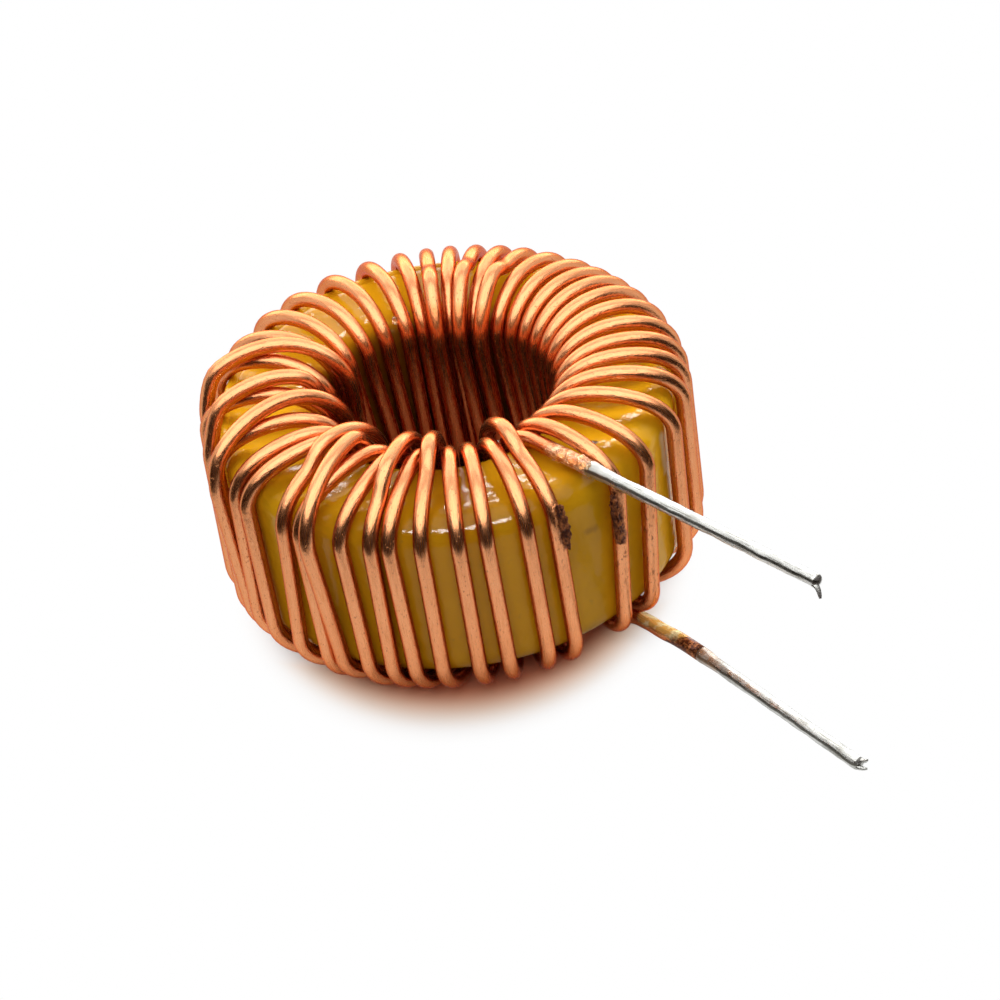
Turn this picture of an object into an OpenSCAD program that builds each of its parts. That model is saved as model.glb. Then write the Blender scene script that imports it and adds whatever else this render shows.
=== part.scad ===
// Toroidal inductor: a painted iron-powder ring with one enamelled copper wire
// wound through it, whose two bare ends are tinned and point the same way.
//
// The ring's axis is Z and its wires stand on z = 0. Both leads leave towards -Y.
// The winding is one wire. It starts at the tip of the lower lead, goes up through
// the ring, over the top, down the outside and back underneath, and so on round,
// and it ends at the tip of the upper lead.

/* [Core] */
// Outside diameter of the painted ring
core_od = 26.9; // [26:0.1:29]
// Diameter of the hole through the ring
core_id = 14.5; // [14:0.1:16]
// Height of the ring
core_h = 11.1; // [8:0.1:15]
// Radius of the ring's rounded edges
core_edge_r = 1.5; // [0.8:0.05:1.8]

/* [Winding] */
// Diameter of the enamelled wire
wire_d = 0.92; // [0.8:0.01:1]
// Gap between the wire and the ring, at the wall and in the hole
wire_gap = 0.1; // [0.05:0.01:0.3]
// Gap between the ring's flat faces and the wires that arch over them
crown_gap = 1; // [0.85:0.05:1.5]
// Gap between a wire and the wire that rides over it
layer_gap = 0.02; // [0.01:0.01:0.1]

/* [Leads] */
// Diameter of the bare copper inside the tinned ends
bare_d = 0.74; // [0.6:0.01:0.8]
// Thickness of the solder coat
tin_wall = 0.045; // [0.03:0.005:0.1]
// Length over which the solder coat thins out where it starts
tin_taper = 0.6; // [0.4:0.05:1.5]
// Gap between the ring's top face and the upper lead
upper_lead_gap = 0.32; // [0.15:0.01:0.5]
// How far the tip of the upper lead stands out from the wires on the wall
upper_reach = 16.4; // [8:0.1:30]
// How far the tip of the lower lead stands out from the wires on the wall
lower_reach = 17.2; // [8:0.1:30]
// How far outside the wires on the wall the lower lead's tinning starts
lower_tin_start = 3.7; // [2:0.1:5]

/* [Hidden] */

// Small clearance between the solder coat and the copper in it, the coat's thickness
// at its thin edge, and its length beyond the end of the copper
seat_gap = 0.005;
tin_edge = 0.015;
tin_end = 0.12;

// Radii of the wire's centre line on the wall and in the hole, and levels
wire_r = wire_d / 2;
bare_r = bare_d / 2;
tin_r = bare_r + seat_gap + tin_wall;
wall_r = core_od / 2 + wire_gap + wire_r;
hole_r = core_id / 2 - wire_gap - wire_r;
core_bottom = wire_d + crown_gap;
core_top = core_bottom + core_h;
middle_r = (core_od + core_id) / 4;
middle_z = core_bottom + core_h / 2;

// An arch springs from the level of the ring's corner centres and rises so far
arch_rise = core_edge_r + crown_gap + wire_r;
layer_step = wire_d + layer_gap;
tight_rise = arch_rise - layer_step;

// A turn is highest at this radius, a little nearer to the wall than to the hole
crest_share = 0.55;
crest_r = wall_r - crest_share * (wall_r - hole_r);

// The bends clear the rounded corner while they are no wider than rise^2 / corner_r
corner_r = core_edge_r + wire_gap + wire_r;

// Climbing to the second layer takes this share of the way from wall to hole
ramp = 0.25;

// How a turn runs underneath: pulled up behind the bend, against the ring, or level
TUCKED = 0;
TIGHT = 1;
LEVEL = 2;
tuck_depth = 0.42;

// Where a turn rides on its neighbours, as shares of the way from wall to hole.
// A ride that ends at 1 stays on the second layer through the hole.
NO_RIDE = [0, 0];

// Each turn's angles in degrees, counted on round the ring: at the top of the wall,
// at the top of the hole before it, and at the foot of the wall. Then how far its
// wire leans back in the hole, in degrees from top to bottom, its ride and its underside.
turns = [
    [309, 303.5, 306.5, 0, NO_RIDE, TIGHT],
    [320, 312.5, 316.5, 0, NO_RIDE, TIGHT],
    [335, 322, 334, 0, NO_RIDE, TUCKED],
    [347, 332, 347, 1.5, NO_RIDE, TUCKED],
    [355, 343, 355, 3.5, NO_RIDE, TUCKED],
    [362, 353, 362, 5, NO_RIDE, TUCKED],
    [369, 364, 369, 7.5, NO_RIDE, TUCKED],
    [378, 374, 378, 8, NO_RIDE, TUCKED],
    [386, 382.5, 386, 8, NO_RIDE, TUCKED],
    [392.5, 391, 392.5, 8, NO_RIDE, TUCKED],
    [398.5, 399.5, 398.5, 8, NO_RIDE, TUCKED],
    [405, 408, 405, 8, NO_RIDE, TUCKED],
    [413, 416.5, 413, 8, NO_RIDE, TUCKED],
    [421, 422.5, 421, 6.5, [0.75, 1], TUCKED],
    [428, 429, 428, 6, NO_RIDE, TUCKED],
    [435, 435, 435, 6, [0.75, 1], TUCKED],
    [442.5, 441, 442.5, 3, NO_RIDE, TUCKED],
    [449, 448, 449, 3.5, [0.8, 1], TUCKED],
    [456.5, 455, 456.5, 2, NO_RIDE, TUCKED],
    [466, 463.5, 466, 2, NO_RIDE, TUCKED],
    [477, 475, 477, 5.2, NO_RIDE, TUCKED],
    [488.5, 487, 488.5, 9, NO_RIDE, TUCKED],
    [498, 500, 498, 10, NO_RIDE, TUCKED],
    [510, 510.5, 509.5, 0, NO_RIDE, TIGHT],
    [520, 526, 521.5, 0, NO_RIDE, TUCKED],
    [531, 514, 530, 0, [0.2, 1], TIGHT],
    [537, 547, 539.5, 0, NO_RIDE, LEVEL],
    [547, 537, 546, 0, [0.25, 0.75], TIGHT],
    [554, 564, 557, 0, NO_RIDE, LEVEL],
    [561, 551.5, 561.5, 0, [0.1, 1], TUCKED],
    [566, 575, 566, 0, NO_RIDE, TIGHT],
    [571, 583.5, 573, 0, NO_RIDE, TUCKED],
    [584, 587, 582.5, 0, [0.55, 1], TIGHT],
    [589, 601, 591, 0, NO_RIDE, LEVEL],
    [593.5, 592, 595, 0, [0.05, 0.65], TIGHT],
    [600, 609.5, 602, 0, NO_RIDE, TUCKED],
    [607.5, 613, 608, 0, [0.45, 1], TUCKED],
    [612, 618, 613.5, 0, NO_RIDE, TUCKED],
    [619.5, 623, 620, 0, [0.7, 1], TUCKED],
    [628, 628.5, 628.5, 0, NO_RIDE, TUCKED],
    [634.5, 636.5, 635.5, 0, NO_RIDE, TUCKED],
    [644, 644.5, 645, 0, NO_RIDE, TUCKED],
    [651, 650, 652, 0, [0.7, 1], TUCKED]
];

// The lower lead: its angles in the hole and where it has come down to the table,
// the width of that bend, then its points outwards as distance from wall_r and angle
lower_hole_angle = 303.5;
lower_bend_angle = 311.5;
lower_bend = 2.5;
lower_points = [[-2, 316.8], [-0.7, 316.8], [0.6, 315.8]];
lower_tin_angle = 314.1;
lower_tip_angle = 308.8;

// The upper lead: its angles in the hole, over the ring, at the tinning and the tip
upper_hole_angle = 655.5;
upper_bend_angle = 660.2;
upper_tin_start = -0.5;
upper_tin_angle = 663.2;
upper_tip_angle = 666.6;
upper_rise = core_edge_r + upper_lead_gap + wire_r;

// Rings of the swept wire: their places on a bend, in degrees, and the wire's sides
bend = [0, 27, 58, 90];
sides = 8;

// Length over which the wire narrows from its enamelled to its bare diameter
shoulder = 0.2;

function ease(x) = let (t = min(max(x, 0), 1)) t * t * (3 - 2 * t);
function unit(v) = v / norm(v);
function polar(r, angle, z) = [r * cos(angle), r * sin(angle), z];
function backwards(list) = [for (i = [len(list) - 1:-1:0]) list[i]];

// Points of a quarter ellipse as [radius, height, normal's radius, normal's height].
// side is 1 for the bend at the wall and -1 for the bend into the hole.
function quarter(centre, width, rise, side) = [
    for (t = bend)
        [centre + side * width * cos(t), rise * sin(t), side * cos(t) / width, sin(t) / rise]
];

// Section of a half-turn from the wall to the hole, with its two bends
function half_turn(rise) =
    let (
        outer = min(wall_r - crest_r, rise * rise / corner_r),
        inner = min(crest_r - hole_r, rise * rise / corner_r),
        flat = wall_r - outer - hole_r - inner > wire_r,
        into_hole = backwards(quarter(hole_r + inner, inner, rise, -1))
    )
    concat(
        quarter(wall_r - outer, outer, rise, 1),
        [for (i = [flat ? 0 : 1:len(into_hole) - 1]) into_hole[i]]
    );

// How far from its plain course a wire runs at a share of the way from wall to hole
function riding(share, ride) =
    ride == NO_RIDE ? 0
        : layer_step * ease((share - ride[0] + ramp) / ramp)
            * (ride[1] == 1 ? 1 : 1 - ease((share - ride[1]) / ramp));
function tucking(share, tuck) = tuck * ease((share - 0.4) / 0.3) * (1 - ease((share - 0.8) / 0.2));

// A half-turn in space, over the top (up = 1) or underneath (up = -1)
function placed(section, angles, ride, tuck, up) = [
    for (p = section)
        let (
            share = (wall_r - p[0]) / (wall_r - hole_r),
            normal = unit([p[2], p[3]]),
            off = riding(share, ride) - tucking(share, tuck),
            spring = up > 0 ? core_top - core_edge_r : core_bottom + core_edge_r
        )
        polar(
            p[0] + off * normal[0],
            angles[0] + (angles[1] - angles[0]) * share,
            spring + up * (p[1] + off * normal[1])
        )
];

function over_top(turn) =
    backwards(placed(half_turn(arch_rise), [turn[0], turn[1]], turn[4], 0, 1));

// Underneath, a turn runs to the foot of the next turn's wire in the hole, and sinks
// to the second layer only at the end of the way
late_ride = [0.97, 1];
function next_angle(i) =
    i + 1 < len(turns) ? turns[i + 1][1] - turns[i + 1][3] : upper_hole_angle;
function next_rides(i) = i + 1 < len(turns) && turns[i + 1][4][1] == 1;
function underneath(i) =
    let (
        turn = turns[i],
        rise = turn[5] == TIGHT ? tight_rise : arch_rise,
        tuck = turn[5] == TUCKED && !next_rides(i) ? tuck_depth : 0
    )
    placed(
        half_turn(rise), [turn[2], next_angle(i)], next_rides(i) ? late_ride : NO_RIDE, tuck, -1
    );

// A lead's bend out of the hole, from the hole outwards
function lead_bend(width, rise, hole_angle, bend_angle, up) = [
    for (t = bend)
        polar(
            hole_r + width * (1 - cos(t)),
            hole_angle + (bend_angle - hole_angle) * (1 - cos(t)),
            (up > 0 ? core_top - core_edge_r : core_bottom + core_edge_r) + up * rise * sin(t)
        )
];

// Ends of the two tinned stretches
upper_z = core_top + upper_lead_gap + wire_r;
upper_tin_from = polar(wall_r + upper_tin_start, upper_tin_angle, upper_z);
upper_tip = polar(wall_r + upper_reach, upper_tip_angle, upper_z);
lower_tin_from = polar(wall_r + lower_tin_start, lower_tin_angle, wire_r);
lower_tip = polar(wall_r + lower_reach, lower_tip_angle, wire_r);

// Points of the wire with its radius there: [point, way off the ring, radius]
function off_ring(p) = p - middle_r / norm([p.x, p.y]) * [p.x, p.y, 0] - [0, 0, middle_z];
function wound(points) = [for (p = points) [p, off_ring(p), wire_r]];
function led(points, up) = [for (p = points) [p, [0, 0, up], wire_r]];

// Copper inside a tinned end, from just before the coat to just short of its closed end
function bared(from, tip, up) =
    let (along = unit(tip - from))
    [
        [from - shoulder * along, [0, 0, up], wire_r],
        [from, [0, 0, up], bare_r],
        [tip - (tin_end + seat_gap) * along, [0, 0, up], bare_r]
    ];

lower_run = led([for (p = lower_points) polar(wall_r + p[0], p[1], wire_r)], -1);
wire_path = concat(
    backwards(bared(lower_tin_from, lower_tip, -1)),
    backwards(lower_run),
    wound(backwards(lead_bend(lower_bend, arch_rise, lower_hole_angle, lower_bend_angle, -1))),
    [for (i = [0:len(turns) - 1]) each wound(concat(over_top(turns[i]), underneath(i)))],
    wound(
        lead_bend(upper_rise * upper_rise / corner_r, upper_rise, upper_hole_angle, upper_bend_angle, 1)
    ),
    bared(upper_tin_from, upper_tip, 1)
);

// One ring of the sweep, square to the wire's course at that point
function heading(i) =
    let (last = len(wire_path) - 1, here = wire_path[i][0])
    unit(
        (i > 0 ? unit(here - wire_path[i - 1][0]) : [0, 0, 0])
            + (i < last ? unit(wire_path[i + 1][0] - here) : [0, 0, 0])
    );
function wire_ring(i) =
    let (
        along = heading(i),
        off = wire_path[i][1],
        out = unit(off - (off * along) * along),
        across = cross(along, out)
    )
    [
        for (k = [0:sides - 1])
            wire_path[i][0] + wire_path[i][2] * (cos(k * 360 / sides) * out + sin(k * 360 / sides) * across)
    ];

// Two triangles for each side of the wire between two rings, and the two end faces
function skin(rings) = [
    for (i = [0:rings - 2], k = [0:sides - 1])
        let (a = i * sides + k, b = i * sides + (k + 1) % sides)
        each [[a, a + sides, b + sides], [a, b + sides, b]]
];
first_face = [for (k = [0:sides - 1]) k];
last_face = [for (k = [sides - 1:-1:0]) (len(wire_path) - 1) * sides + k];

module ring_section() {
    half_width = (core_od - core_id) / 4;
    translate([middle_r - half_width, core_edge_r])
        square([2 * half_width, core_h - 2 * core_edge_r]);
    translate([middle_r - half_width + core_edge_r, 0])
        square([2 * (half_width - core_edge_r), core_h]);
    for (x = [-1, 1], y = [core_edge_r, core_h - core_edge_r])
        translate([middle_r + x * (half_width - core_edge_r), y])
            circle(r = core_edge_r, $fn = 48);
}

module core() {
    color([0.87, 0.67, 0.16])
        translate([0, 0, core_bottom])
            rotate_extrude($fn = 120)
                ring_section();
}

module winding() {
    color([0.8, 0.46, 0.31])
        polyhedron(
            points = [for (i = [0:len(wire_path) - 1]) each wire_ring(i)],
            faces = concat([first_face], skin(len(wire_path)), [last_face])
        );
}

// Solder coat from one point to another along a level lead, thin where it starts
// and closed at the tip
module tinning(from, tip) {
    run = tip - from;
    length = norm(run);
    bore_r = bare_r + seat_gap;
    color([0.8, 0.81, 0.82])
        translate(from)
            rotate([0, 90, atan2(run.y, run.x)])
                rotate_extrude($fn = 32)
                    polygon([
                        [bore_r, 0],
                        [bore_r + tin_edge, 0],
                        [tin_r, tin_taper],
                        [tin_r, length],
                        [0, length],
                        [0, length - tin_end],
                        [bore_r, length - tin_end]
                    ]);
}

module upper_lead_tinning() {
    tinning(upper_tin_from, upper_tip);
}

module lower_lead_tinning() {
    tinning(lower_tin_from, lower_tip);
}

core();
winding();
upper_lead_tinning();
lower_lead_tinning();
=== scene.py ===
"""Looks of the toroidal inductor: enamelled copper wire, glossy yellow paint, tinned leads, varnish
and scorch marks.

Lengths in the code are millimetres and become metres where a mesh is made. Angles are degrees round
the ring, with 0 at the camera's right and 270 at its near side. The wire's course follows the same
rules and the same list of turns as the CAD source, with many more rings, so the smooth wire
replaces its solid.
"""

import math

import bmesh
import bpy
from mathutils import Matrix, Vector, noise


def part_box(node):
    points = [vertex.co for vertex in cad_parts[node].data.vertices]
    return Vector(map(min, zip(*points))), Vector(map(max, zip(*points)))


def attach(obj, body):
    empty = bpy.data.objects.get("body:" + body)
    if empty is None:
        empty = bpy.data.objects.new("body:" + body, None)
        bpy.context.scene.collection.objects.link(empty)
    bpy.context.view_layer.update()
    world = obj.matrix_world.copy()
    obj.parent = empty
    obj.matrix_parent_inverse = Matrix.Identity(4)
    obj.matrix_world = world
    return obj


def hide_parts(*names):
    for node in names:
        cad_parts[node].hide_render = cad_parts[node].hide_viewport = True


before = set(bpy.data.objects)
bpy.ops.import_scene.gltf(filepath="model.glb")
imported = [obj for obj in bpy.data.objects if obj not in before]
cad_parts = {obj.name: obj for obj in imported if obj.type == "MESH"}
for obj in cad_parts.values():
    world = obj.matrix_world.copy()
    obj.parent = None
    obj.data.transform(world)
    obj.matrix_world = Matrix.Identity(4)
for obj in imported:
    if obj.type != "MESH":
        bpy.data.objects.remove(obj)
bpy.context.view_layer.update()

MM = 0.001
UP = Vector((0, 0, 1))

# ---------------------------------------------------------------- sizes

CORE_LOW, CORE_HIGH = (Vector(corner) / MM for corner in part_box("core"))
CORE_R = CORE_HIGH.x
CORE_BOTTOM = CORE_LOW.z
CORE_TOP = CORE_HIGH.z
CORE_HOLE_R = 7.25
EDGE_R = 1.5

WIRE_R = 0.46
WIRE_GAP = 0.1
CROWN_GAP = 1.0
LAYER_GAP = 0.02
LAYER_STEP = 2 * WIRE_R + LAYER_GAP

WALL_R = CORE_R + WIRE_GAP + WIRE_R
HOLE_R = CORE_HOLE_R - WIRE_GAP - WIRE_R
MIDDLE_R = (CORE_R + CORE_HOLE_R) / 2
MIDDLE_Z = (CORE_TOP + CORE_BOTTOM) / 2
ARCH_RISE = EDGE_R + CROWN_GAP + WIRE_R
TIGHT_RISE = ARCH_RISE - LAYER_STEP
CREST_SHARE = 0.55
CREST_R = WALL_R - CREST_SHARE * (WALL_R - HOLE_R)
CORNER_R = EDGE_R + WIRE_GAP + WIRE_R
RAMP = 0.25
TUCK_DEPTH = 0.42
TUCK_START, TUCK_IN = 0.4, 0.3
TUCK_END, TUCK_OUT = 0.8, 0.2

LEAD_GAP = 0.32
UPPER_Z = CORE_TOP + LEAD_GAP + WIRE_R
UPPER_RISE = EDGE_R + LEAD_GAP + WIRE_R
TIN_R = 0.39

BEND_STEPS = 14
LEAD_STEPS = 8
WIRE_SIDES = 20
LONGEST_STRETCH = 1.2

# ---------------------------------------------------------------- the turns

TUCKED, TIGHT, LEVEL = "tucked", "tight", "level"
NO_RIDE = (0, 0)

# Each turn's angles, counted on round the ring: at the top of the wall, at the top of the hole
# before it, and at the foot of the wall. Then how far its wire leans back in the hole, in degrees
# from top to bottom, where it rides on its neighbours, and how it runs underneath.
TURNS = [
    (309, 303.5, 306.5, 0, NO_RIDE, TIGHT),
    (320, 312.5, 316.5, 0, NO_RIDE, TIGHT),
    (335, 322, 334, 0, NO_RIDE, TUCKED),
    (347, 332, 347, 1.5, NO_RIDE, TUCKED),
    (355, 343, 355, 3.5, NO_RIDE, TUCKED),
    (362, 353, 362, 5, NO_RIDE, TUCKED),
    (369, 364, 369, 7.5, NO_RIDE, TUCKED),
    (378, 374, 378, 8, NO_RIDE, TUCKED),
    (386, 382.5, 386, 8, NO_RIDE, TUCKED),
    (392.5, 391, 392.5, 8, NO_RIDE, TUCKED),
    (398.5, 399.5, 398.5, 8, NO_RIDE, TUCKED),
    (405, 408, 405, 8, NO_RIDE, TUCKED),
    (413, 416.5, 413, 8, NO_RIDE, TUCKED),
    (421, 422.5, 421, 6.5, (0.75, 1), TUCKED),
    (428, 429, 428, 6, NO_RIDE, TUCKED),
    (435, 435, 435, 6, (0.75, 1), TUCKED),
    (442.5, 441, 442.5, 3, NO_RIDE, TUCKED),
    (449, 448, 449, 3.5, (0.8, 1), TUCKED),
    (456.5, 455, 456.5, 2, NO_RIDE, TUCKED),
    (466, 463.5, 466, 2, NO_RIDE, TUCKED),
    (477, 475, 477, 5.2, NO_RIDE, TUCKED),
    (488.5, 487, 488.5, 9, NO_RIDE, TUCKED),
    (498, 500, 498, 10, NO_RIDE, TUCKED),
    (510, 510.5, 509.5, 0, NO_RIDE, TIGHT),
    (520, 526, 521.5, 0, NO_RIDE, TUCKED),
    (531, 514, 530, 0, (0.2, 1), TIGHT),
    (537, 547, 539.5, 0, NO_RIDE, LEVEL),
    (547, 537, 546, 0, (0.25, 0.75), TIGHT),
    (554, 564, 557, 0, NO_RIDE, LEVEL),
    (561, 551.5, 561.5, 0, (0.1, 1), TUCKED),
    (566, 575, 566, 0, NO_RIDE, TIGHT),
    (571, 583.5, 573, 0, NO_RIDE, TUCKED),
    (584, 587, 582.5, 0, (0.55, 1), TIGHT),
    (589, 601, 591, 0, NO_RIDE, LEVEL),
    (593.5, 592, 595, 0, (0.05, 0.65), TIGHT),
    (600, 609.5, 602, 0, NO_RIDE, TUCKED),
    (607.5, 613, 608, 0, (0.45, 1), TUCKED),
    (612, 618, 613.5, 0, NO_RIDE, TUCKED),
    (619.5, 623, 620, 0, (0.7, 1), TUCKED),
    (628, 628.5, 628.5, 0, NO_RIDE, TUCKED),
    (634.5, 636.5, 635.5, 0, NO_RIDE, TUCKED),
    (644, 644.5, 645, 0, NO_RIDE, TUCKED),
    (651, 650, 652, 0, (0.7, 1), TUCKED),
]
LATE_RIDE = (0.97, 1)

# The leads' places, as distance outside the wires on the wall and angle
LOWER_HOLE_ANGLE = 303.5
LOWER_BEND_ANGLE = 311.5
LOWER_BEND = 2.5
LOWER_POINTS = [(-2, 316.8), (-0.7, 316.8), (0.6, 315.8)]
LOWER_TIN = (3.7, 314.1)
LOWER_TIP = (17.2, 308.8)
UPPER_HOLE_ANGLE = 655.5
UPPER_BEND_ANGLE = 660.2
UPPER_TIN = (-0.5, 663.2)
UPPER_TIP = (16.4, 666.6)

# ---------------------------------------------------------------- the wire's course


def ease(x):
    t = min(max(x, 0.0), 1.0)
    return t * t * (3 - 2 * t)


def polar(r, angle, z):
    a = math.radians(angle)
    return Vector((r * math.cos(a), r * math.sin(a), z))


def quarter(centre, width, rise, side):
    """Points of a quarter ellipse with their outward normals, from its low end to its crest."""
    points = []
    for i in range(BEND_STEPS + 1):
        t = math.pi / 2 * i / BEND_STEPS
        r = centre + side * width * math.cos(t)
        normal = Vector((side * math.cos(t) / width, math.sin(t) / rise)).normalized()
        points.append((r, rise * math.sin(t), normal))
    return points


def half_turn(rise):
    """Section of a half-turn from the wall to the hole."""
    outer = min(WALL_R - CREST_R, rise * rise / CORNER_R)
    inner = min(CREST_R - HOLE_R, rise * rise / CORNER_R)
    into_hole = quarter(HOLE_R + inner, inner, rise, -1)[::-1]
    flat = WALL_R - outer - HOLE_R - inner > WIRE_R
    return quarter(WALL_R - outer, outer, rise, 1) + into_hole[0 if flat else 1:]


def riding(share, ride):
    """Height over the plain course at a share of the way from wall to hole."""
    if ride == NO_RIDE:
        return 0.0
    up = ease((share - ride[0] + RAMP) / RAMP)
    down = 0.0 if ride[1] == 1 else ease((share - ride[1]) / RAMP)
    return LAYER_STEP * up * (1 - down)


def tucking(share, tuck):
    """Depth under the plain course at a share of the way from wall to hole."""
    return tuck * ease((share - TUCK_START) / TUCK_IN) * (1 - ease((share - TUCK_END) / TUCK_OUT))


def spring_height(up):
    """Where a bend leaves the straight wire, over the top (up = 1) or underneath (up = -1)."""
    return CORE_TOP - EDGE_R if up > 0 else CORE_BOTTOM + EDGE_R


def placed(section, angles, ride, tuck, up):
    """A half-turn in space, over the top (up = 1) or underneath (up = -1)."""
    points = []
    for r, height, normal in section:
        share = (WALL_R - r) / (WALL_R - HOLE_R)
        off = riding(share, ride) - tucking(share, tuck)
        angle = angles[0] + (angles[1] - angles[0]) * share
        z = spring_height(up) + up * (height + off * normal.y)
        points.append(polar(r + off * normal.x, angle, z))
    return points


def over_top(turn):
    return placed(half_turn(ARCH_RISE), (turn[0], turn[1]), turn[4], 0, 1)[::-1]


def underneath(i):
    turn = TURNS[i]
    last = i + 1 == len(TURNS)
    next_angle = UPPER_HOLE_ANGLE if last else TURNS[i + 1][1] - TURNS[i + 1][3]
    next_rides = not last and TURNS[i + 1][4][1] == 1
    rise = TIGHT_RISE if turn[5] == TIGHT else ARCH_RISE
    tuck = TUCK_DEPTH if turn[5] == TUCKED and not next_rides else 0
    ride = LATE_RIDE if next_rides else NO_RIDE
    return placed(half_turn(rise), (turn[2], next_angle), ride, tuck, -1)


def lead_bend(width, rise, hole_angle, bend_angle, up):
    """A lead's bend out of the hole, from the hole outwards."""
    points = []
    for i in range(BEND_STEPS + 1):
        t = math.pi / 2 * i / BEND_STEPS
        turn = 1 - math.cos(t)
        angle = hole_angle + (bend_angle - hole_angle) * turn
        z = spring_height(up) + up * rise * math.sin(t)
        points.append(polar(HOLE_R + width * turn, angle, z))
    return points


def smooth_curve(points, steps):
    """A Catmull-Rom curve through the points, without its end points' own stretches."""
    out = []
    for a, b, c, d in zip(points, points[1:], points[2:], points[3:]):
        for i in range(steps):
            t = i / steps
            point = 2 * b + (c - a) * t
            point += (2 * a - 5 * b + 4 * c - d) * t * t
            point += (3 * b - a - 3 * c + d) * t**3
            out.append(0.5 * point)
    out.append(points[-2])
    return out


def lead_point(place, z):
    return polar(WALL_R + place[0], place[1], z)


def wire_course():
    """The wire's centre line from the lower lead's tinning to the upper lead's."""
    tin = lead_point(LOWER_TIN, WIRE_R)
    tip = lead_point(LOWER_TIP, WIRE_R)
    bend = lead_bend(LOWER_BEND, ARCH_RISE, LOWER_HOLE_ANGLE, LOWER_BEND_ANGLE, -1)[::-1]
    outside = [lead_point(p, WIRE_R) for p in reversed(LOWER_POINTS)]
    course = smooth_curve([tip, tin] + outside + [bend[0], bend[2]], LEAD_STEPS)[:-1] + bend
    for i, turn in enumerate(TURNS):
        course += over_top(turn) + underneath(i)
    course += lead_bend(UPPER_RISE**2 / CORNER_R, UPPER_RISE, UPPER_HOLE_ANGLE, UPPER_BEND_ANGLE, 1)
    course.append(lead_point(UPPER_TIN, UPPER_Z))
    return course


def filled(course, longest):
    """The course with points added so that no stretch is longer than `longest`."""
    out = [course[0]]
    for a, b in zip(course, course[1:]):
        steps = max(1, math.ceil((b - a).length / longest))
        out += [a.lerp(b, (i + 1) / steps) for i in range(steps)]
    return out


# ---------------------------------------------------------------- places of marks and small pieces

# Stretches that the soldering iron's heat and flux left on the wire and the lower tinning
SCORCH_LAST_TURN = (polar(14.4, 291.9, 12.9), polar(14.5, 292.6, 10.4))
SCORCH_FIRST_TURN = (polar(14.35, 306.4, 11.6), polar(14.4, 306.6, 8.7))
STRIPPED_UPPER = (lead_point((-3.0, 661.5), UPPER_Z), lead_point(UPPER_TIN, UPPER_Z))
YELLOWED_LOWER = (lead_point((-0.9, 316.8), WIRE_R + 0.25), lead_point((2.6, 314.7), WIRE_R + 0.35))
SCORCHED_LOWER = (lead_point((1.5, 315.1), 0.15), lead_point(LOWER_TIN, 0.75))
BROWNED_TIN = (lead_point(LOWER_TIN, 0.4), lead_point((5.2, 313.3), 0.3))

# Where the enamel near the leads is worn, and the hole's axis, beside which the wires are painted
# darker as painted shade
WORN_WALL = (polar(14.3, 298, 11), polar(14.3, 320, 5))
HOLE_AXIS = ((0, 0, 1), (0, 0, 11))

# A brown smear, a dark spot and two pale runs in the paint, and the hole's axis, beside which
# the paint is darkened as painted shade
PAINT_SMEAR = (polar(CORE_R, 300.6, 9.65), polar(CORE_R, 302.6, 9.55))
PAINT_SPOT = (polar(11.2, 315.3, 13), polar(11.3, 315.4, 13))
PAINT_RUN = (polar(CORE_R, 332.6, 11.4), polar(CORE_R, 332.9, 9.0))
PAINT_RUN_END = (polar(CORE_R, 333.6, 9.2), polar(CORE_R, 334.2, 6.6))
PAINTED_HOLE_AXIS = ((0, 0, 2), (0, 0, 12.2))

# Crusts of burnt flux along a scorched stretch: where each starts and ends, as shares of it, and
# its size
CRUSTS_LAST_TURN = [(0, 0.3, 0.2), (0.25, 0.6, 0.24), (0.55, 0.9, 0.2), (0.85, 1.1, 0.13)]
CRUSTS_FIRST_TURN = [(0, 0.25, 0.2), (0.2, 0.5, 0.25), (0.5, 0.75, 0.2), (0.8, 1.05, 0.14)]

# Drops of varnish round the hole: distance from its axis, angle, height and size
VARNISH_DROPS = [
    (6.75, 258.5, 12.2, 0.34),
    (6.8, 267.5, 12.9, 0.26),
    (6.7, 280.5, 12.4, 0.34),
    (6.9, 285.5, 12.9, 0.25),
    (6.8, 293, 12.6, 0.32),
    (7.2, 108, 13.4, 0.15),
    (7.3, 101, 13.5, 0.12),
]

# Drops of clear flux along the upper lead's stripped stretch: share of it, place across the wire,
# and size
FLUX_DROPS = [(0.2, 0.3, 0.22), (0.55, 0.35, 0.26), (0.75, -0.1, 0.2), (0.9, 0.3, 0.3)]
FLUX_STRETCH = Vector((0.15, -0.18, 0))

# The paint's fuller edge round the far side: distance from the axis, height, angles, and radius at
# its ends and how much more in the middle
PAINT_EDGE_R, PAINT_EDGE_Z = 12.65, 12.45
PAINT_EDGE_START, PAINT_EDGE_SPAN = 55, 135
PAINT_EDGE_THIN, PAINT_EDGE_SWELL = 0.3, 0.3
PAINT_EDGE_SIDES = 24

# The paint's beads beside the wires at the two flanks: distance from the axis, height, length,
# thickness and angles
BEAD_R, BEAD_Z, BEAD_LENGTH, BEAD_THICK = 13.49, 3.6, 8.2, 0.075
BEAD_ANGLES = (("right", 355.6), ("left", 184.4))
BEAD_SIDES = 8

# The tinnings' swelling at the start, its place and width, how far each end is rounded, and how
# uneven the coat is, coarsely and finely
TIN_STEPS, TIN_SIDES = 150, 20
TIN_SWELL, TIN_SWELL_AT, TIN_SWELL_WIDE = 0.09, 0.1, 0.7
TIN_START_ROUND, TIN_END_ROUND = 0.12, 0.3
TIN_LUMPS, TIN_GRAIN = 0.035, 0.015

# The place round the tinnings of a painted dark reflection along them, from their upper side
DARK_REFLECTION_PLACE = 0.52

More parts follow.
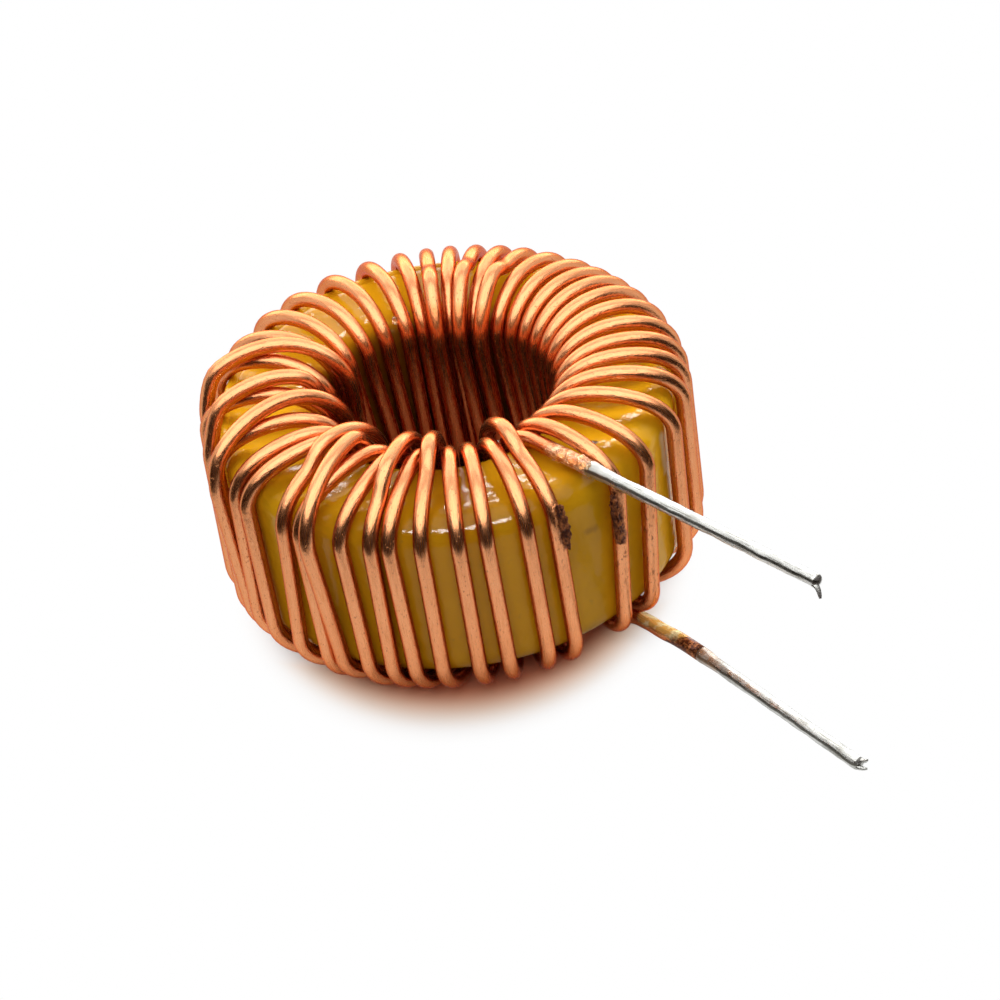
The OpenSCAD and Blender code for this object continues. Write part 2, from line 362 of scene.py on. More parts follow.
# The burrs that the cutter left on the leads' ends: how deep they are rooted, how much thicker the
# root is than the tip, the tip's radius, and the height of their ridges
NIB_STEPS, NIB_SIDES = 8, 10
NIB_ROOT = 0.3
NIB_THICK, NIB_TIP, NIB_RIDGE = 0.13, 0.03, 0.02


# ---------------------------------------------------------------- mesh making


def new_object(name, verts, faces, material, smooth=True):
    """Makes an object from points in millimetres."""
    mesh = bpy.data.meshes.new(name)
    mesh.from_pydata([tuple(v * MM for v in p) for p in verts], [], faces)
    mesh.update()
    if smooth:
        mesh.polygons.foreach_set("use_smooth", [True] * len(mesh.polygons))
    obj = bpy.data.objects.new(name, mesh)
    bpy.context.collection.objects.link(obj)
    mesh.materials.append(material)
    return obj


def away_from_ring(p):
    """From the middle of the ring's section to a point near it."""
    r = math.hypot(p.x, p.y)
    return p - Vector((p.x * MIDDLE_R / r, p.y * MIDDLE_R / r, MIDDLE_Z))


def tube(name, course, radius, sides, material, straight=False):
    """A closed round tube along a course. radius(i, k) gives each vertex's radius. Its first side
    faces away from the ring, or up where it is straight. Its UV map holds the length along the tube
    and the way round it, both in millimetres; its two flat ends have no place on the map."""
    count = len(course)
    verts = []
    lengths = [0.0]
    for a, b in zip(course, course[1:]):
        lengths.append(lengths[-1] + (b - a).length)
    for i, here in enumerate(course):
        ahead = course[min(i + 1, count - 1)] - course[max(i - 1, 0)]
        along = ahead.normalized()
        off = UP if straight else away_from_ring(here)
        out = (off - off.dot(along) * along).normalized()
        across = along.cross(out)
        for k in range(sides):
            a = 2 * math.pi * k / sides
            verts.append(here + radius(i, k) * (math.cos(a) * out + math.sin(a) * across))
    faces = []
    for i in range(count - 1):
        for k in range(sides):
            a = i * sides + k
            b = i * sides + (k + 1) % sides
            faces.append((a, a + sides, b + sides, b))
    faces.append(tuple(range(sides)))
    faces.append(tuple(range(count * sides - 1, (count - 1) * sides - 1, -1)))
    obj = new_object(name, verts, faces, material)
    for end in obj.data.polygons[-2:]:
        end.use_smooth = False
    layer = obj.data.uv_layers.new(name="wire")
    width = 2 * math.pi * WIRE_R / sides
    uv = []
    for i in range(count - 1):
        for k in range(sides):
            u0, u1 = lengths[i], lengths[i + 1]
            v0, v1 = k * width, (k + 1) * width
            uv += [u0, v0, u1, v0, u1, v1, u0, v1]
    uv += [0.0] * (4 * sides)
    layer.data.foreach_set("uv", uv)
    return obj


def rounded(distance, over):
    """A round end's share of the full radius, at a distance from the end."""
    return math.sqrt(max(0.0, 1 - (1 - min(1.0, distance / over)) ** 2))


# ---------------------------------------------------------------- materials


class Nodes:
    """A short way to write a node material. Where a method takes a value, it takes a socket too."""

    def __init__(self, name):
        self.material = bpy.data.materials.new(name)
        self.material.use_nodes = True
        self.tree = self.material.node_tree
        self.shader = self.tree.nodes["Principled BSDF"]

    def feed(self, socket, value):
        """Links another node's output to a socket, or sets the socket's own value."""
        if isinstance(value, bpy.types.NodeSocket):
            self.tree.links.new(value, socket)
        else:
            socket.default_value = value

    def put(self, node, key, value):
        """Sets a node's property or feeds its input, whichever has this name."""
        name = key.replace("_", " ")
        if hasattr(node, key) and key not in node.inputs and name not in node.inputs:
            setattr(node, key, value)
        else:
            self.feed(node.inputs[key if key in node.inputs else name], value)

    def add(self, kind, **inputs):
        node = self.tree.nodes.new(kind)
        for key, value in inputs.items():
            self.put(node, key, value)
        return node

    def set(self, **inputs):
        """Sets or feeds the shader's own sockets."""
        for key, value in inputs.items():
            self.put(self.shader, key, value)

    def place(self, stretch=(1, 1, 1)):
        """Place on the object in millimetres, stretched."""
        return self.mapped("Object", tuple(s / MM for s in stretch))

    def wire(self, along=1, across=1):
        """Place along and round the wire in millimetres, stretched."""
        return self.mapped("UV", (along, across, 1))

    def mapped(self, output, scale):
        source = self.add("ShaderNodeTexCoord").outputs[output]
        return self.add("ShaderNodeMapping", Vector=source, Scale=scale).outputs["Vector"]

    def noise(self, where, scale, detail=3.0, roughness=0.5):
        node = self.add("ShaderNodeTexNoise", Vector=where, Scale=scale)
        self.put(node, "Detail", detail)
        self.put(node, "Roughness", roughness)
        return node.outputs["Fac"]

    def ramp(self, value, low, high):
        """0 below low, 1 above high, with a soft change between them."""
        node = self.add("ShaderNodeValToRGB", Fac=value)
        node.color_ramp.interpolation = "EASE"
        node.color_ramp.elements[0].position = low
        node.color_ramp.elements[1].position = high
        return node.outputs["Color"]

    def step(self, value, low, high, falling=False):
        """A smooth step from 0 at low to 1 at high, or falling from 1 to 0."""
        node = self.add("ShaderNodeMapRange", Value=value, interpolation_type="SMOOTHSTEP")
        node.inputs["From Min"].default_value = low
        node.inputs["From Max"].default_value = high
        node.inputs["To Min"].default_value = 1.0 if falling else 0.0
        node.inputs["To Max"].default_value = 0.0 if falling else 1.0
        return node.outputs["Result"]

    def mix(self, share, a, b):
        """Colour a, turning to colour b as share goes from 0 to 1."""
        node = self.tree.nodes.new("ShaderNodeMix")
        node.data_type = "RGBA"
        for key, value in (("Factor", share), ("A", a), ("B", b)):
            socket = [s for s in node.inputs if s.name == key and s.enabled][0]
            self.feed(socket, (*value, 1) if isinstance(value, tuple) else value)
        return [s for s in node.outputs if s.enabled][0]

    def maths(self, kind, a, b=0.0):
        node = self.add("ShaderNodeMath", operation=kind)
        self.feed(node.inputs[0], a)
        self.feed(node.inputs[1], b)
        return node.outputs["Value"]

    def times(self, a, b):
        return self.maths("MULTIPLY", a, b)

    def most(self, first, *others):
        """The greatest of some values."""
        for other in others:
            first = self.maths("MAXIMUM", first, other)
        return first

    def vector(self, kind, a, b, output="Vector"):
        node = self.add("ShaderNodeVectorMath", operation=kind)
        self.feed(node.inputs[0], a)
        self.feed(node.inputs[1], b)
        return node.outputs[output]

    def mark(self, stretch, inner, outer, ragged=0.0, scale=1.5):
        """1 near the line between two points on the object and 0 away from it. Its edge strays
        by up to about `ragged`, with noise of this scale."""
        start, end = (Vector(point) for point in stretch)
        along = end - start
        place = self.place()
        from_start = self.vector("SUBTRACT", place, tuple(start))
        share = self.vector("DOT_PRODUCT", from_start, tuple(along / along.length**2), "Value")
        share = self.maths("MINIMUM", self.maths("MAXIMUM", share, 0.0), 1.0)
        nearest = self.add("ShaderNodeVectorMath", operation="SCALE", Scale=share)
        nearest.inputs[0].default_value = tuple(along)
        away = self.vector("DISTANCE", from_start, nearest.outputs["Vector"], "Value")
        if ragged:
            wobble = self.maths("SUBTRACT", self.noise(place, scale, 4.0, 0.6), 0.5)
            away = self.maths("ADD", away, self.times(wobble, 2 * ragged))
        return self.step(away, inner, outer, falling=True)

    def bump(self, height, depth, strength, under=None):
        """Bump of a depth in millimetres."""
        node = self.add("ShaderNodeBump", Height=height, Strength=strength, Distance=depth * MM)
        if under:
            self.tree.links.new(under, node.inputs["Normal"])
        return node.outputs["Normal"]


# Colours, as linear red, green and blue
COPPER, COPPER_PALE = (0.72, 0.285, 0.118), (0.77, 0.32, 0.138)
COPPER_STREAK = (0.62, 0.225, 0.078)
COPPER_PAINTED_SHADE_IN_HOLE = (0.66, 0.19, 0.055)
COPPER_GLANCE = (0.7, 0.18, 0.07, 1)
DUST = (0.86, 0.50, 0.30)
PIT = (0.36, 0.13, 0.05)
WORN_ENAMEL = (0.24, 0.08, 0.03)
BARE_DARK, BARE_PALE = (0.55, 0.22, 0.09), (0.95, 0.62, 0.36)
FLUX_AMBER, FLUX_PALE = (0.88, 0.50, 0.12), (1.0, 0.88, 0.48)
CHAR, EMBER = (0.06, 0.013, 0.005), (0.40, 0.14, 0.045)
CRUST_BROWN = (0.42, 0.14, 0.045)
VARNISH_PALE, VARNISH_AMBER = (1.0, 0.85, 0.6), (1.0, 0.65, 0.35)
YELLOW, YELLOW_PALE = (0.64, 0.315, 0.006), (0.70, 0.36, 0.009)
YELLOW_PAINTED_SHADE_IN_HOLE = (0.15, 0.045, 0.005)
PAINT_STAIN = (0.35, 0.2, 0.03)
SMEAR_BROWN = (0.26, 0.11, 0.012)
SPOT_BROWN = (0.12, 0.04, 0.01)
RUN_PALE = (0.80, 0.72, 0.50)
TIN, TIN_DULL = (0.62, 0.62, 0.59), (0.44, 0.44, 0.41)
TIN_STREAK = (0.30, 0.29, 0.25)
TIN_SCRATCH = (0.14, 0.13, 0.11)
TIN_PAINTED_DARK_REFLECTION = (0.075, 0.07, 0.055)
TIN_BROWN = (0.30, 0.15, 0.06)
BLACK_CLOTH = (0.02, 0.008, 0.004, 1)
WHITE = (1.0, 1.0, 1.0)
FLOOR_BOUNCE = (0.3, 0.28, 0.27)
# Near the object the floor is painted warm: a painted copper-coloured shadow and glow, which
# reflections also see
FLOOR_MIRRORED_PAINTED_WARMTH = (0.95, 0.82, 0.70)
FLOOR_PAINTED_WARM_SHADOW, FLOOR_PAPER = (0.95, 0.40, 0.24), (0.95, 0.90, 0.85)
FLOOR_PAINTED_WARM_GLOW = (1.0, 0.76, 0.5)


def enamelled_copper():
    """Copper under a clear amber enamel, drawn lengthwise, with faint streaks, grain, fine pits and
    dust specks. In the hole it is painted redder and darker, as painted shade. Near the leads it
    has
    the marks of soldering: scorched enamel, yellow flux and a bare rough stretch."""
    m = Nodes("enamelled_copper")
    body = m.place()
    streaks = m.noise(m.wire(0.25, 5), 3.0, 4.0, 0.6)
    grain = m.noise(m.wire(2.5, 9), 1.0, 2.0, 0.6)
    cloud = m.noise(body, 0.35, 2.0)
    pits = m.ramp(m.noise(body, 7.5, 2.0, 0.4), 0.68, 0.73)
    specks = m.ramp(m.noise(m.wire(3.5, 6), 1.0, 3.0, 0.7), 0.56, 0.72)
    dashes = m.ramp(m.noise(m.wire(1.6, 4), 1.0, 3.0, 0.7), 0.56, 0.62)
    worn = m.mark(WORN_WALL, 1.2, 3.5, 1.0, 0.6)
    # Painted shade: in the hole the wire is coloured darker and redder
    hole = m.mark(HOLE_AXIS, 6.9, 7.4)
    bare = m.mark(STRIPPED_UPPER, 0.35, 0.9, 0.4, 1.2)
    flux = m.mark(YELLOWED_LOWER, 0.3, 0.5, 0.15, 2.0)
    scorched = (SCORCH_LAST_TURN, SCORCH_FIRST_TURN)
    burnt = m.most(*(m.mark(stretch, 0.25, 0.5, 0.35, 2.2) for stretch in scorched))
    lower_burnt = m.mark(SCORCHED_LOWER, 0.4, 0.7, 0.3, 1.6)

    bare_copper = m.mix(m.ramp(m.noise(body, 3.2), 0.4, 0.6), BARE_DARK, BARE_PALE)
    flux_crust = m.mix(m.ramp(m.noise(body, 1.8), 0.42, 0.6), FLUX_AMBER, FLUX_PALE)
    ember = m.mix(m.ramp(m.noise(body, 4.5, 4.0, 0.7), 0.45, 0.62), CHAR, EMBER)
    colour = m.mix(m.ramp(cloud, 0.3, 0.7), COPPER, COPPER_PALE)
    for share, over in (
        (m.ramp(streaks, 0.45, 0.75), COPPER_STREAK),
        (m.times(specks, 0.25), DUST),
        (m.times(pits, 0.6), PIT),
        (m.times(hole, 0.75), COPPER_PAINTED_SHADE_IN_HOLE),
        (m.times(worn, m.times(dashes, 0.85)), WORN_ENAMEL),
        (bare, bare_copper),
        (flux, flux_crust),
        (m.most(burnt, lower_burnt), ember),
    ):
        colour = m.mix(share, colour, over)

    rough = m.maths("ADD", m.maths("ADD", m.times(streaks, 0.1), 0.22), m.times(burnt, 0.25))
    normal = m.bump(streaks, 0.006, 0.5)
    normal = m.bump(grain, 0.03, 0.7, normal)
    normal = m.bump(m.maths("SUBTRACT", 1.0, pits), 0.02, 0.6, normal)
    crust = m.times(m.most(burnt, bare), m.noise(body, 3.5, 4.0, 0.65))
    normal = m.bump(crust, 0.16, 0.9, normal)
    covered = m.most(m.times(m.most(flux, burnt, lower_burnt), 0.75), m.times(bare, 0.4))
    metal = m.maths("SUBTRACT", 1.0, covered)
    m.set(Base_Color=colour, Roughness=rough, Normal=normal, Metallic=metal)
    m.set(Specular_Tint=COPPER_GLANCE, Coat_Weight=0.3, Coat_Roughness=0.2)
    return m.material


def burnt_flux():
    """Brown crust of burnt flux and enamel."""
    m = Nodes("burnt_flux")
    body = m.place()
    colour = m.mix(m.ramp(m.noise(body, 2.5, 5.0, 0.65), 0.42, 0.66), CHAR, CRUST_BROWN)
    m.set(Base_Color=colour, Roughness=0.5, Normal=m.bump(m.noise(body, 7.0, 4.0, 0.6), 0.08, 0.8))
    m.set(Specular_IOR_Level=0.12)
    return m.material


def clear_flux():
    """Clear drops of varnish and flux, slightly amber."""
    m = Nodes("clear_flux")
    colour = m.mix(m.noise(m.place(), 1.5), VARNISH_PALE, VARNISH_AMBER)
    m.set(Base_Color=colour, Roughness=0.08, Normal=m.bump(m.noise(m.place(), 4.0), 0.03, 0.5))
    m.set(Transmission_Weight=0.85, IOR=1.5)
    return m.material


def yellow_paint():
    """Thick glossy paint with an orange-peel surface, faint stains, a smear, a spot and two pale
    runs. In the hole it is painted darker, as painted shade."""
    m = Nodes("yellow_paint")
    body = m.place()
    stain = m.ramp(m.noise(body, 0.75, 4.0, 0.6), 0.64, 0.74)
    run = m.mark(PAINT_RUN, 0.05, 0.5, 0.25, 1.0)
    run_end = m.mark(PAINT_RUN_END, 0.05, 0.4, 0.2, 1.0)
    colour = m.mix(m.ramp(m.noise(body, 0.16), 0.3, 0.7), YELLOW, YELLOW_PALE)
    for share, over in (
        (m.times(stain, 0.35), PAINT_STAIN),
        (m.times(m.mark(PAINT_SMEAR, 0.0, 0.42, 0.25, 1.6), 0.45), SMEAR_BROWN),
        (m.mark(PAINT_SPOT, 0.08, 0.22, 0.1, 3.0), SPOT_BROWN),
        (m.times(m.most(run, run_end), 0.6), RUN_PALE),
        # Painted shade: the paint is coloured darker in the hole
        (m.times(m.mark(PAINTED_HOLE_AXIS, 7.3, 8.0), 0.85), YELLOW_PAINTED_SHADE_IN_HOLE),
    ):
        colour = m.mix(share, colour, over)
    normal = m.bump(m.noise(body, 1.1, 2.0, 0.45), 0.10, 0.75)
    normal = m.bump(m.noise(body, 5.0, 2.0), 0.018, 0.5, normal)
    m.set(Base_Color=colour, Roughness=0.09, Normal=normal, Specular_IOR_Level=0.12)
    return m.material


def solder():
    """Bright tin-lead coat, wiped lengthwise, with dark grey streaks, dull patches and one long
    painted dark reflection along a fixed side. The lower lead's coat starts brown with flux."""
    m = Nodes("solder")
    streaks = m.noise(m.wire(0.15, 2.6), 1.0, 5.0, 0.6)
    scratches = m.noise(m.wire(0.6, 9.0), 1.0, 4.0, 0.65)
    dull = m.ramp(m.noise(m.place(), 0.7), 0.48, 0.68)
    round_wire = m.add("ShaderNodeSeparateXYZ", Vector=m.wire()).outputs["Y"]
    # Painted dark reflection: a dark stripe along a fixed side of each tinning
    wander = m.maths("SUBTRACT", m.noise(m.wire(0.5, 0.2), 1.0, 4.0, 0.6), 0.5)
    aside = m.maths("SUBTRACT", m.maths("ADD", round_wire, m.times(wander, 0.4)), DARK_REFLECTION_PLACE)
    dark_reflection = m.step(m.maths("ABSOLUTE", aside), 0.06, 0.15, falling=True)
    colour = m.mix(dull, TIN, TIN_DULL)
    for share, over in (
        (m.times(m.ramp(streaks, 0.54, 0.60), 0.8), TIN_STREAK),
        (m.times(m.ramp(scratches, 0.56, 0.64), 0.7), TIN_SCRATCH),
        (m.times(dark_reflection, 0.9), TIN_PAINTED_DARK_REFLECTION),
        (m.times(m.mark(BROWNED_TIN, 0.2, 0.8, 0.4, 1.0), 0.85), TIN_BROWN),
    ):
        colour = m.mix(share, colour, over)
    normal = m.bump(scratches, 0.04, 0.7, m.bump(streaks, 0.05, 0.6))
    rough = m.maths("ADD", m.times(dull, 0.2), 0.2)
    m.set(Base_Color=colour, Roughness=rough, Metallic=0.85, Normal=normal)
    return m.material


def dark_cloth():
    m = Nodes("dark_cloth")
    m.set(Base_Color=BLACK_CLOTH, Roughness=1.0, Specular_IOR_Level=0.0)
    return m.material


# ---------------------------------------------------------------- pieces


def make_winding(material):
    course = filled(wire_course(), LONGEST_STRETCH)
    piece = tube("wire_coil", course, lambda i, k: WIRE_R, WIRE_SIDES, material)
    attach(piece, "root")
    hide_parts("winding")


def make_tinning(name, start, tip, z, node, material):
    """A tinned end: an uneven solder coat that starts with a small swelling and is rounded at its
    cut end."""
    from_point = lead_point(start, z)
    way = lead_point(tip, z) - from_point
    along, length = way.normalized(), way.length
    course = [from_point + along * (length * i / TIN_STEPS) for i in range(TIN_STEPS + 1)]

    def radius(i, k):
        s = length * i / TIN_STEPS
        a = 2 * math.pi * k / TIN_SIDES
        lump = noise.noise(Vector((s * 0.9, 1.6 * math.cos(a), 1.6 * math.sin(a) + z)))
        fine = noise.noise(Vector((s * 2.7 + 40, 3 * math.cos(a), 3 * math.sin(a))))
        swell = TIN_SWELL * math.exp(-((s - TIN_SWELL_AT) / TIN_SWELL_WIDE) ** 2)
        full = TIN_R + swell + TIN_LUMPS * lump + TIN_GRAIN * fine
        start_share = max(rounded(s, TIN_START_ROUND), 0.9)
        end_share = max(rounded(length - s, TIN_END_ROUND), 0.1)
        return min(z, max(0.02, full * min(start_share, end_share)))

    piece = tube(name, course, radius, TIN_SIDES, material, straight=True)
    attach(piece, "root")
    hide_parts(node)


def make_paint_build_up(material):
    """The paint's fuller edge round the far side, and the beads where it meets the wires at the two
    flanks."""
    steps = 60
    shares = [i / steps for i in range(steps + 1)]
    angles = [PAINT_EDGE_START + PAINT_EDGE_SPAN * t for t in shares]
    edge = [polar(PAINT_EDGE_R, angle, PAINT_EDGE_Z) for angle in angles]

    def edge_radius(i, k):
        return PAINT_EDGE_THIN + PAINT_EDGE_SWELL * math.sin(math.pi * i / steps) ** 0.4

    def bead_radius(i, k):
        return BEAD_THICK * math.sin(math.pi * (i + 1) / (steps + 2)) ** 0.3

    pieces = [tube("paint_edge", edge, edge_radius, PAINT_EDGE_SIDES, material)]
    for side, angle in BEAD_ANGLES:
        bead = [polar(BEAD_R, angle, BEAD_Z + BEAD_LENGTH * t) for t in shares]
        pieces.append(tube("paint_bead_" + side, bead, bead_radius, BEAD_SIDES, material))
    for piece in pieces:
        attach(piece, "root")


def make_blob(name, start, end, radius, lumpy, material, seed):
    """A lumpy drop or crust stretched between two points."""
    mesh = bmesh.new()
    bmesh.ops.create_icosphere(mesh, subdivisions=4, radius=1.0)
    axis = (end - start).normalized()
    verts = []
    for vert in mesh.verts:
        way = vert.co.normalized()
        base = start.lerp(end, ease(0.5 + 0.5 * way.dot(axis)))
        lump = noise.fractal(way * 1.6 + Vector((seed, seed, seed)), 1.0, 2.0, 4) * lumpy
        verts.append(base + way * radius * max(0.25, 1 + lump))
    faces = [[v.index for v in face.verts] for face in mesh.faces]
    mesh.free()
    piece = new_object(name, verts, faces, material)
    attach(piece, "root")


def make_nib(name, lead_tip, z, towards, start, curl, length, material):
    """A thin burr that the cutter left on a lead's cut end. `start` is how far its root stands off
    the lead's middle line, sideways and up, and `curl` how far it curls from there to its tip."""
    tip = lead_point(lead_tip, z)
    along = (tip - lead_point(towards, z)).normalized()
    aside = along.cross(UP)
    course = []
    for i in range(NIB_STEPS + 1):
        t = i / NIB_STEPS
        out = along * (length * t - NIB_ROOT) + aside * (start[0] + curl[0] * t * t)
        course.append(tip + out + UP * (start[1] + curl[1] * t * t))

    def radius(i, k):
        return NIB_THICK * (1 - i / NIB_STEPS) ** 0.6 + NIB_TIP + NIB_RIDGE * (k % 3)

    piece = tube(name, course, radius, NIB_SIDES, material, straight=True)
    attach(piece, "root")


def make_marks():
    """What soldering and varnishing left on the coil."""
    crust, clear = burnt_flux(), clear_flux()
    for first, seed, (a, b), crusts in (
        (0, 1.0, SCORCH_LAST_TURN, CRUSTS_LAST_TURN),
        (len(CRUSTS_LAST_TURN), 2.0, SCORCH_FIRST_TURN, CRUSTS_FIRST_TURN),
    ):
        for i, (start, end, size) in enumerate(crusts):
            ends = (a.lerp(b, start), a.lerp(b, end))
            make_blob(f"crust_{first + i}", *ends, size, 1.0, crust, seed + 3 * i)
    for i, (r, angle, z, size) in enumerate(VARNISH_DROPS):
        place = polar(r, angle, z)
        make_blob(f"varnish_{i}", place, place - UP * size, size, 0.35, clear, 3.0 * i)
    for i, (share, side, size) in enumerate(FLUX_DROPS):
        place = STRIPPED_UPPER[0].lerp(STRIPPED_UPPER[1], share)
        place += Vector((-0.6 * side, -0.6 * side, 0.36))
        make_blob(f"flux_{i}", place, place + FLUX_STRETCH, size, 0.4, clear, 5.0 + i)


# ---------------------------------------------------------------- stage


def floor_material():
    """A white floor. Under the near side it keeps the object's shadow, there painted a warm copper
    colour with a painted warm glow, and reflections see it painted warm, for light off the copper.
    Away from it, it turns to plain white: nearest in for the camera, and further out for
    reflections and clear materials."""
    m = Nodes("white_floor")
    m.tree.nodes.remove(m.shader)

    def beyond(centre, start, end, wide=1.0):
        """From 0 to 1 between two distances from a point on the floor, on which places are first
        stretched sideways `wide` times."""
        return m.step(m.vector("DISTANCE", m.place((wide, 1, 1)), centre, "Value"), start, end)

    rays = m.add("ShaderNodeLightPath")
    camera = rays.outputs["Is Camera Ray"]
    mirrored = m.most(rays.outputs["Is Glossy Ray"], rays.outputs["Is Transmission Ray"])
    off_near_side = beyond((-0.3, -13.5, 0), 6, 10, 0.6)
    off_middle = (-0.5, 0, 0)
    # Painted shade: near the object the floor's colour and glow are painted copper-warm
    paper = m.mix(m.most(beyond(off_middle, 12, 16, 1.2), off_near_side), FLOOR_PAINTED_WARM_SHADOW, FLOOR_PAPER)
    paper = m.mix(m.most(camera, mirrored), FLOOR_BOUNCE, m.mix(camera, FLOOR_MIRRORED_PAINTED_WARMTH, paper))
    glow = m.mix(m.most(beyond(off_middle, 12.5, 16, 1.2), off_near_side), FLOOR_PAINTED_WARM_GLOW, WHITE)
    glow = m.mix(camera, WHITE, glow)
    seen_plain = m.times(camera, beyond(off_middle, 11.9, 17.2, 1.2))
    mirrored_plain = m.times(mirrored, beyond((0, 0, 0), 14.5, 24, 1.25))
    blend = m.add("ShaderNodeMixShader", Fac=m.most(seen_plain, mirrored_plain))
    m.feed(blend.inputs[1], m.add("ShaderNodeBsdfDiffuse", Color=paper).outputs[0])
    m.feed(blend.inputs[2], m.add("ShaderNodeEmission", Color=glow, Strength=1.0).outputs[0])
    m.feed(m.tree.nodes["Material Output"].inputs["Surface"], blend.outputs[0])
    return m.material


def add_floor():
    size = 3000
    corners = ((-size, -size), (size, -size), (size, size), (-size, size))
    verts = [Vector((x, y, 0)) for x, y in corners]
    floor = new_object("floor", verts, [(0, 1, 2, 3)], floor_material(), smooth=False)


def add_world():
    """White where the camera, reflections and clear materials see it, and a dim fill for everything
    else."""
    world = bpy.data.worlds.new("studio")
    bpy.context.scene.world = world
    world.use_nodes = True
    tree = world.node_tree
    background = tree.nodes["Background"]
    background.inputs["Color"].default_value = (1, 1, 1, 1)
    rays = tree.nodes.new("ShaderNodeLightPath")
    seen = rays.outputs["Is Camera Ray"]
    for kind in ("Is Glossy Ray", "Is Transmission Ray"):
        either = tree.nodes.new("ShaderNodeMath")
        either.operation = "MAXIMUM"
        tree.links.new(seen, either.inputs[0])
        tree.links.new(rays.outputs[kind], either.inputs[1])
        seen = either.outputs[0]
    level = tree.nodes.new("ShaderNodeMapRange")
    level.inputs["To Min"].default_value = 0.2
    level.inputs["To Max"].default_value = 1.0
    tree.links.new(seen, level.inputs["Value"])
    tree.links.new(level.outputs["Result"], background.inputs["Strength"])


# The lamps: azimuth (0 is the camera's side, 90 its right) and elevation, width and height, power,
# and whether surfaces see them in their gloss or as plain light
LAMP_DISTANCE = 500
GLOSS, PLAIN = "gloss", "plain"
LAMPS = [
    ("front_panel", 0, 61.5, 1300, 713, 4.95, GLOSS),
    ("back_panel", 180, 14, 1000, 200, 2.1, GLOSS),
    ("back_top", 180, 45, 1000, 330, 1.3, GLOSS),
    ("left_fill", 215, 46, 400, 300, 2.2, PLAIN),
    ("right_fill", 145, 46, 400, 300, 2.2, PLAIN),
    ("right_side", 115, 25, 400, 300, 1.8, PLAIN),
    ("left_side", 245, 25, 400, 300, 0.8, PLAIN),
    ("front_fill", 0, 55, 400, 300, 0.75, PLAIN),
]
# Narrow lamps that light only the painted core
GLINTS = [
    ("front_glint", 0, 36, 440, 90, 7.0, GLOSS),
    ("back_glint", 180, 44, 440, 60, 2.6, GLOSS),
]


def add_softbox(name, azimuth, elevation, width, height, power, seen_as, only=None):
    """A rectangular lamp aimed at the coil. `only` names the one collection that it lights."""
    a, e = math.radians(azimuth), math.radians(elevation)
    way = Vector((math.sin(a) * math.cos(e), -math.cos(a) * math.cos(e), math.sin(e)))
    lamp = bpy.data.lights.new(name, "AREA")
    lamp.shape = "RECTANGLE"
    lamp.size = width * MM
    lamp.size_y = height * MM
    lamp.energy = power
    obj = bpy.data.objects.new(name, lamp)
    obj.location = (Vector((0, 0, MIDDLE_Z)) + way * LAMP_DISTANCE) * MM
    obj.rotation_euler = way.to_track_quat("Z", "Y").to_euler()
    obj.visible_diffuse = seen_as == PLAIN
    obj.visible_glossy = seen_as == GLOSS
    if only:
        obj.light_linking.receiver_collection = only
    bpy.context.collection.objects.link(obj)


def add_lamps(core):
    for lamp in LAMPS:
        add_softbox(*lamp)
    painted = bpy.data.collections.new("painted")
    painted.objects.link(core)
    for lamp in GLINTS:
        add_softbox(*lamp, only=painted)


def reflected_only(cloth):
    """Makes a piece of the stage one that only reflections and clear materials see."""
    cloth.visible_camera = False
    cloth.visible_shadow = False
    cloth.visible_diffuse = False


def add_dark_band(name, material, radius, low, high, start, end):
    """A band of dark cloth round the camera's side, as a studio's dark side."""
    verts = []
    steps = 60
    for i in range(steps + 1):
        angle = start + (end - start) * i / steps
        verts += [polar(radius, angle, low), polar(radius, angle, high)]
    faces = [(a, a + 2, a + 3, a + 1) for a in range(0, 2 * steps, 2)]
    reflected_only(new_object(name, verts, faces, material))


def add_shade_sheet(name, material, left, right, low, high):
    """A small dark upright sheet in the hole, as painted shade, so that the hole stays as dark as a
    deep hole looks.
    """
    corners = ((*left, low), (*right, low), (*right, high), (*left, high))
    verts = [Vector(corner) for corner in corners]
    reflected_only(new_object(name, verts, [(0, 1, 2, 3)], material, smooth=False))


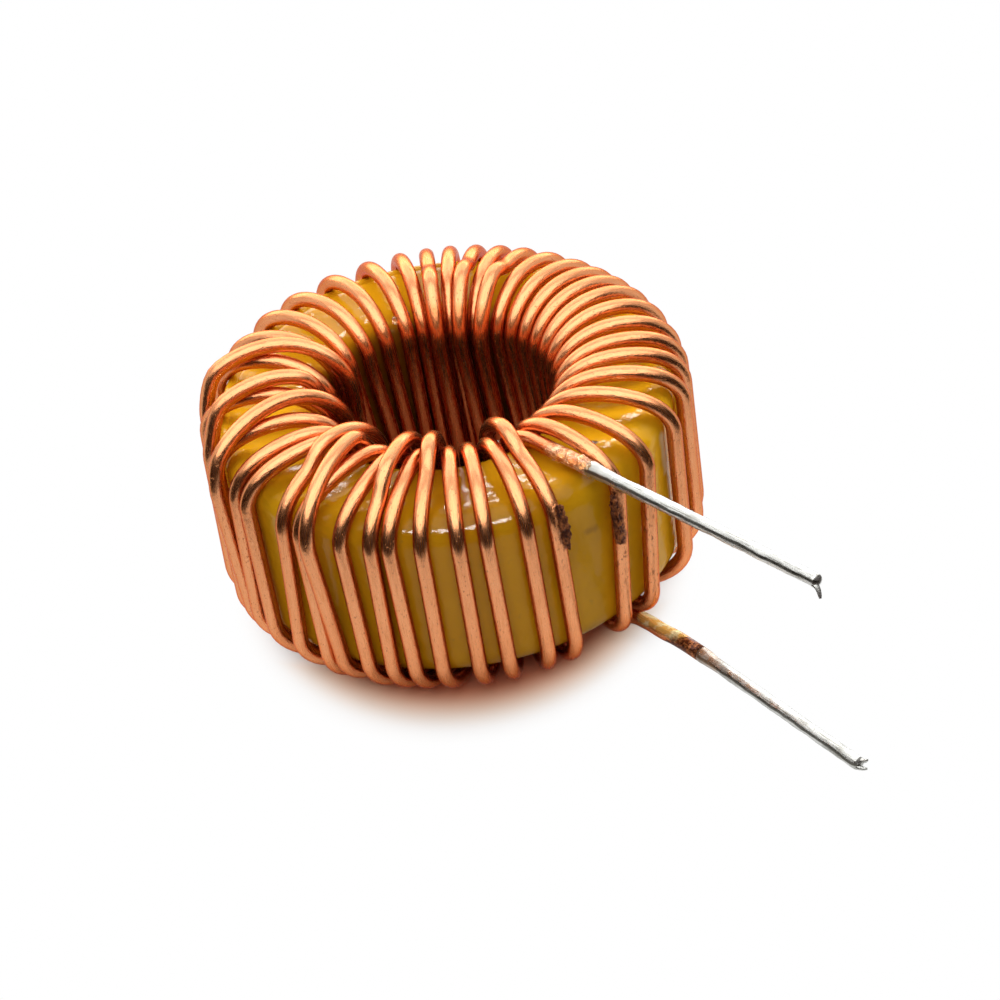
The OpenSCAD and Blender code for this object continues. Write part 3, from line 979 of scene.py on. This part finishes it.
def add_camera():
    """The camera, by its height over the floor in degrees, its distance, its tilt, and how far it
    aims beside and below its target."""
    elevation, distance, roll = 36.3, 220.0, -8.85
    beside, below = 2.72, 2.35
    target = Vector((0, 0, 7.47))
    e, tilt = math.radians(elevation), math.radians(roll)
    ahead = Vector((0, math.cos(e), -math.sin(e)))
    level = Vector((1, 0, 0))
    upright = level.cross(ahead)
    right = level * math.cos(tilt) + upright * math.sin(tilt)
    up = upright * math.cos(tilt) - level * math.sin(tilt)
    place = target - ahead * distance
    aim = target + right * beside - up * below
    back = (place - aim).normalized()
    side = up.cross(back).normalized()
    above = back.cross(side)
    data = bpy.data.cameras.new("camera")
    data.lens = 134.05
    data.sensor_width = 36
    data.clip_start = 0.005
    data.clip_end = 20
    camera = bpy.data.objects.new("camera", data)
    turned = Matrix((side, above, back)).transposed().to_4x4()
    camera.matrix_world = Matrix.Translation(place * MM) @ turned
    bpy.context.collection.objects.link(camera)
    bpy.context.scene.camera = camera


def main():
    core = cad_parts["core"]
    add_camera()
    add_world()
    add_floor()
    add_lamps(core)
    cloth = dark_cloth()
    add_dark_band("near_band", cloth, radius=33, low=0.05, high=23.3, start=184, end=356)
    add_dark_band("far_band", cloth, radius=420, low=8, high=232, start=190, end=350)
    # Painted shade: a dark sheet in the hole that only reflections see
    add_shade_sheet("hole_shade_sheet", cloth, left=(-5.2, -1.5), right=(5.2, -1.5), low=4, high=12.5)

    paint = yellow_paint()
    core.data.materials.clear()
    core.data.materials.append(paint)
    make_paint_build_up(paint)
    make_winding(enamelled_copper())
    tin = solder()
    make_tinning("upper_tin", UPPER_TIN, UPPER_TIP, UPPER_Z, "upper_lead_tinning", tin)
    make_tinning("lower_tin", LOWER_TIN, LOWER_TIP, WIRE_R, "lower_lead_tinning", tin)
    make_nib("upper_nib", UPPER_TIP, UPPER_Z, UPPER_TIN, (0.2, -0.15), (0.3, -0.45), 0.7, tin)
    make_nib("lower_nib", LOWER_TIP, WIRE_R, LOWER_TIN, (0.15, -0.1), (-0.2, 0.1), 0.75, tin)
    make_nib("lower_nib_b", LOWER_TIP, WIRE_R, LOWER_TIN, (-0.15, 0.15), (-0.1, 0.3), 0.6, tin)
    make_marks()

    bpy.context.scene.view_settings.view_transform = "Standard"


main()
